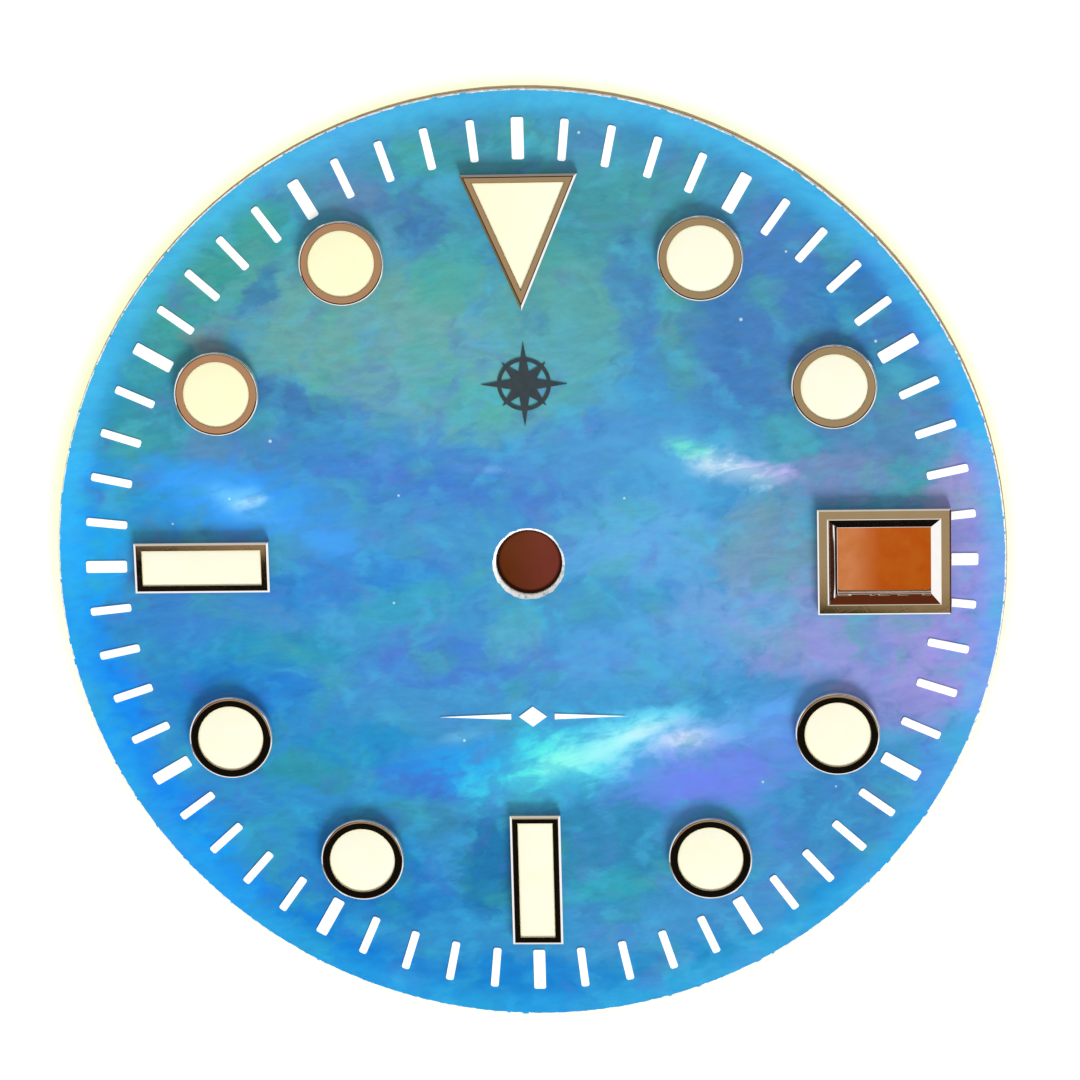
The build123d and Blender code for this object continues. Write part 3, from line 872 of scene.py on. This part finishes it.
bpy.ops.mesh.primitive_cylinder_add(
    vertices=128,
    radius=round_r,
    depth=rim_level - face_level,
    location=(0, 0, (rim_level + face_level) / 2),
)
cup = bpy.context.object
place_mesh(cup)
edit(cup)
pick_top(cup)
sink_pocket(cup, round_lip_w, lambda x, y: hypot(x, y) < round_r - round_lip_w + 0.01)
pick_edges(cup, lambda end: end.z > rim_level - 0.001 and hypot(end.x, end.y) > round_r - 0.01)
break_edges(round_edge_r, 7)
done()
finish_cup(cup, [(0, 0)])

# Luminous paste fills each cup to just under its lip. It is a dry cream with a fine grain, yellower
# where it thins out at the wall. In the markers at the upper left it is yellower too: painted warm
# light.
paste, tree, place = new_finish("luminous_paste")
place_x, place_y, _ = split(tree, place)
colour = blend_colours(
    tree, noise(tree, place, 1.3, 4.0)[0], linear(252, 249, 216), linear(254, 252, 234)
)
# Painted light: the warm cast that falls on the markers at the upper left.
painted_warm_light = times(
    tree, ramp_between(tree, place_x, 2.5, -5.0), ramp_between(tree, place_y, 2.0, 5.0)
)
colour = blend_colours(tree, times(tree, painted_warm_light, 0.6), colour, linear(254, 250, 194))
near_wall = add_node(tree, "ShaderNodeAttribute", {"attribute_name": "near_wall"}).outputs["Fac"]
colour = blend_colours(tree, times(tree, near_wall, 0.8), colour, linear(246, 236, 186))
grit = noise(tree, place, 16.0, 3.0)[0]
finish_surface(
    tree, {"Base Color": colour, "Roughness": 0.62}, grit, strength=0.35, depth=0.012
)
paste_level = 0.965
paste_gap = 0.005


def fill_cup(fill, crown):
    """Crowns the top of a filling by these steps, and marks how near its points are to the wall."""
    edit(fill)
    pick_top(fill)
    step_in(crown)
    done()
    near = fill.data.attributes.new("near_wall", "FLOAT", "POINT")
    for point, value in zip(fill.data.vertices, near.data):
        value.value = 1.0 if point.co.z < paste_level + 0.0001 else 0.0
    fill.data.materials.append(paste)


bpy.ops.mesh.primitive_cylinder_add(
    vertices=112,
    radius=round_r - round_lip_w - paste_gap,
    depth=paste_level - pocket_level,
    location=(0, 0, (paste_level + pocket_level) / 2),
)
round_fill = bpy.context.object
place_mesh(round_fill)
fill_cup(round_fill, [(0.05, 0.004), (0.13, 0.008), (0.25, 0.009), (0.25, 0.005)])
for hour in round_hours:
    x, y = on_ray(round_centre_r, hour)
    name = f"marker_{hour:02d}"
    settle(copy_at(cup, f"{name}_cup", x, y), "polished_rims", f"{name}_frame")
    settle(copy_at(round_fill, f"{name}_paste", x, y), "luminous_paste", f"{name}_lume")
bpy.data.objects.remove(cup, do_unlink=True)
bpy.data.objects.remove(round_fill, do_unlink=True)

# Bars at 6 and 9 o'clock. Milled nickel cups with square corners, a narrow lip and a crisp bright
# chamfer, each on two riveted pins, filled with the same paste.
bar_w = 1.53
bar_lip_w = 0.235
bar_middle_r = marker_end_r - bar_l / 2
chamfer = [(0.062, 0.044), (0.028, 0.009)]
chamfer_w = sum(width for width, rise in chamfer)
chamfer_drop = sum(rise for width, rise in chamfer)


def block(name, x, y, width, height, low, high):
    """A plain block, to mill a bar, its filling or the date frame from."""
    bpy.ops.mesh.primitive_cube_add(
        size=1, location=(x, y, (low + high) / 2), scale=(width, height, high - low)
    )
    body = bpy.context.object
    body.name = body.data.name = name
    place_mesh(body)
    return body


def mill_cup(body, lip_w, inside):
    """Chamfers a square body all round its top and sinks its pocket."""
    edit(body)
    pick_top(body)
    step_in(chamfer)
    sink_pocket(body, lip_w - chamfer_w, inside)
    done()


for hour in bar_hours:
    x, y = on_ray(bar_middle_r, hour)
    width, height = (bar_w, bar_l) if hour == 6 else (bar_l, bar_w)
    name = f"marker_{hour:02d}"
    cup = block(f"{name}_cup", x, y, width, height, face_level, rim_level - chamfer_drop)
    half_w, half_h = width / 2 - bar_lip_w + 0.01, height / 2 - bar_lip_w + 0.01
    mill_cup(cup, bar_lip_w, lambda px, py: abs(px - x) < half_w and abs(py - y) < half_h)
    finish_cup(cup, [on_ray(radius, hour) for radius in bar_pin_rs])
    settle(cup, "polished_rims", f"{name}_frame", angle=12)

    width -= 2 * (bar_lip_w + paste_gap)
    height -= 2 * (bar_lip_w + paste_gap)
    fill = block(f"{name}_paste", x, y, width, height, pocket_level, paste_level)
    fill_cup(fill, [(0.05, 0.004), (0.12, 0.008), (0.18, 0.006)])
    settle(fill, "luminous_paste", f"{name}_lume")

# Triangle at 12 o'clock. A milled nickel cup with sharp corners, its point towards the centre, on
# two riveted pins, filled with the same paste.
triangle_lip_w = 0.245
triangle_corners = [
    Vector((-triangle_w / 2, triangle_base_y)),
    Vector((0, triangle_apex_y)),
    Vector((triangle_w / 2, triangle_base_y)),
]
inner_r = triangle_w * triangle_h / (triangle_w + 2 * hypot(triangle_w / 2, triangle_h))


def from_sides(x, y):
    """How far a place is inside the triangle's nearest side."""
    reaches = []
    for a, b in zip(triangle_corners, triangle_corners[1:] + triangle_corners[:1]):
        reaches.append((b - a).normalized().cross(Vector((x, y)) - a))
    return min(reaches)


def triangle_block(name, cut_back, low, high):
    """A triangular block, its sides this far inside the marker's own."""
    bpy.ops.mesh.primitive_circle_add(vertices=3, radius=1, fill_type="NGON")
    body = bpy.context.object
    body.name = body.data.name = name
    edit(body)
    mesh = bmesh.from_edit_mesh(body.data)
    for point, corner in zip(mesh.verts, triangle_corners):
        point.co = (*corner, low)
    bmesh.update_edit_mesh(body.data)
    bpy.ops.mesh.select_all(action="SELECT")
    smaller = 1 - cut_back / inner_r
    middle = (0, triangle_base_y - inner_r, low)
    bpy.ops.transform.resize(value=(smaller, smaller, 1), center_override=middle)
    extrude(high - low)
    bpy.ops.mesh.select_all(action="SELECT")
    bpy.ops.mesh.normals_make_consistent(inside=False)
    done()
    return body


cup = triangle_block("marker_12_cup", 0, face_level, rim_level - chamfer_drop)
mill_cup(cup, triangle_lip_w, lambda x, y: from_sides(x, y) > triangle_lip_w - 0.01)
finish_cup(cup, triangle_pins)
settle(cup, "polished_rims", "marker_12_frame", angle=12)
fill = triangle_block("marker_12_paste", triangle_lip_w + paste_gap, pocket_level, paste_level)
fill_cup(fill, [(0.05, 0.004), (0.12, 0.008), (0.20, 0.006)])
settle(fill, "luminous_paste", "marker_12_lume")

# Date frame. Milled and polished nickel: a flat lip with mitred corners, a steep bevel down to a
# short straight wall, and the open window. Two riveted pins hold it.
frame_l, frame_w = 3.95, 3.20
frame_lip_w = 0.29
outer_break_w, outer_break_drop = 0.045, 0.032
lip = [(outer_break_w, outer_break_drop), (frame_lip_w - outer_break_w, 0.0)]
bevel = [(0.026, -0.0155), (0.258, -0.2025), (0.016, -0.0095)]
opening_in = sum(width for width, rise in lip + bevel)
wall_drop = rim_level - face_level + sum(rise for width, rise in bevel)
surround = block(
    "date_surround", window_x, 0, frame_l, frame_w, face_level, rim_level - outer_break_drop
)
edit(surround)
pick_top(surround)
step_in(lip + bevel)
extrude(-wall_drop)
bpy.ops.mesh.delete(type="FACE")
pick(surround, "FACE", lambda face: face.normal.z < -0.9)
step_in([(opening_in, 0.0)])
bpy.ops.mesh.delete(type="FACE")
bpy.ops.mesh.select_all(action="SELECT")
bpy.ops.mesh.remove_doubles(threshold=0.002)
done()

# Its bevels were dressed by hand: fine marks run along the left one and nick the foot of the lower
dressed = polished.copy()
dressed.name = "dressed_nickel"
tree = dressed.node_tree
place = in_millimetres(tree)
place_x, place_y, place_z = split(tree, place)
leftwards = figure(tree, "SUBTRACT", window_x, place_x)
past_mitres = figure(tree, "SUBTRACT", leftwards, figure(tree, "ABSOLUTE", place_y))
on_left = times(
    tree, ramp_between(tree, past_mitres, 0.37, 0.39), ramp_between(tree, leftwards, 1.70, 1.68)
)
at_foot = times(
    tree, ramp_between(tree, place_y, -1.062, -1.048), ramp_between(tree, place_y, -0.9, -1.0)
)
between = ramp_between(tree, figure(tree, "ABSOLUTE", leftwards), 1.38, 1.36)
at_foot = times(tree, at_foot, between)
marks = []
for where, scale, low in ((on_left, (0.12, 8.0, 1.0), 0.49), (at_foot, (0.42, 4.0, 1.0), 0.47)):
    line = noise(tree, stretched(tree, place, 0, scale), 1.0, 1.0)
    marks.append(times(tree, ramp_between(tree, line[0], low, low + 0.05), where))
below_lip = ramp_between(tree, place_z, rim_level - 0.01, rim_level - 0.03)
scored = add_node(
    tree,
    "ShaderNodeBump",
    inputs={
        "Height": times(tree, figure(tree, "ADD", *marks), below_lip),
        "Strength": 1.0,
        "Distance": 0.006 * mm,
        "Normal": tree.nodes["Principled BSDF"].inputs["Normal"].links[0].from_socket,
    },
)
finish_surface(tree, {"Normal": scored.outputs[0]})
finish_cup(surround, frame_pins, dressed)
settle(surround, "polished_rims", "date_frame", angle=12)

# Dial feet. Copper wire pegs, welded into shallow recesses behind the plate. The weld leaves them
# stained.
copper, tree, place = new_finish("welded_copper")
stain = noise(tree, place, 2.4, 5.0)[0]
colour = blend_colours(tree, stain, linear(196, 118, 78), linear(226, 152, 112))
near_weld = ramp_between(tree, split(tree, place)[2], -0.45, 0.05, 0.0, 0.75)
colour = blend_colours(tree, near_weld, colour, linear(112, 66, 58))
roughness = ramp_between(tree, stain, 0.3, 0.7, 0.28, 0.5)
finish_surface(tree, {"Base Color": colour, "Metallic": 1.0, "Roughness": roughness}, stain)
coat(copper, *[f"dial_foot_{number}" for number in (1, 2, 3, 4)])
